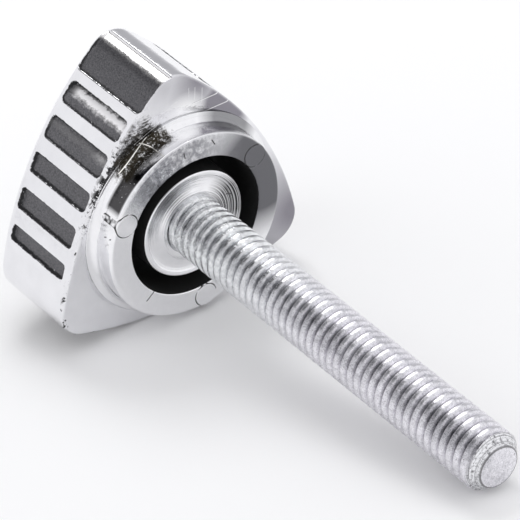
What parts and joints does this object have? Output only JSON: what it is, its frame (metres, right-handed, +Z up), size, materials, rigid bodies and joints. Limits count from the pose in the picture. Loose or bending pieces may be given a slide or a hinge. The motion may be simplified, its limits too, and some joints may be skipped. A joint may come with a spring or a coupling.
{
  "type": "side cover screw",
  "caption": "A thumb screw with a three-cornered fluted grip knob and a long threaded stud, for holding on a removable side cover by hand.",
  "frame": {"origin": "middle of the footprint, on the surface that the loose screw lies on", "axes": "+X runs along the lying screw from the knob to the stud's tip, +Z is up and +Y completes a right-handed set"},
  "size_m": [0.0592, 0.0274, 0.0275],
  "materials": {
    "bright_plated_plastic": "bright decorative plating over a moulded plastic, with a satin black finish in the flutes and corner panels, worn at their edges",
    "zinc_plated_steel": "clear zinc plating over rolled steel thread, brighter near the collar and duller towards the tip"
  },
  "bodies": {
    "root": {"knob": "bright_plated_plastic", "stud": "zinc_plated_steel"}
  },
  "joints": []
}
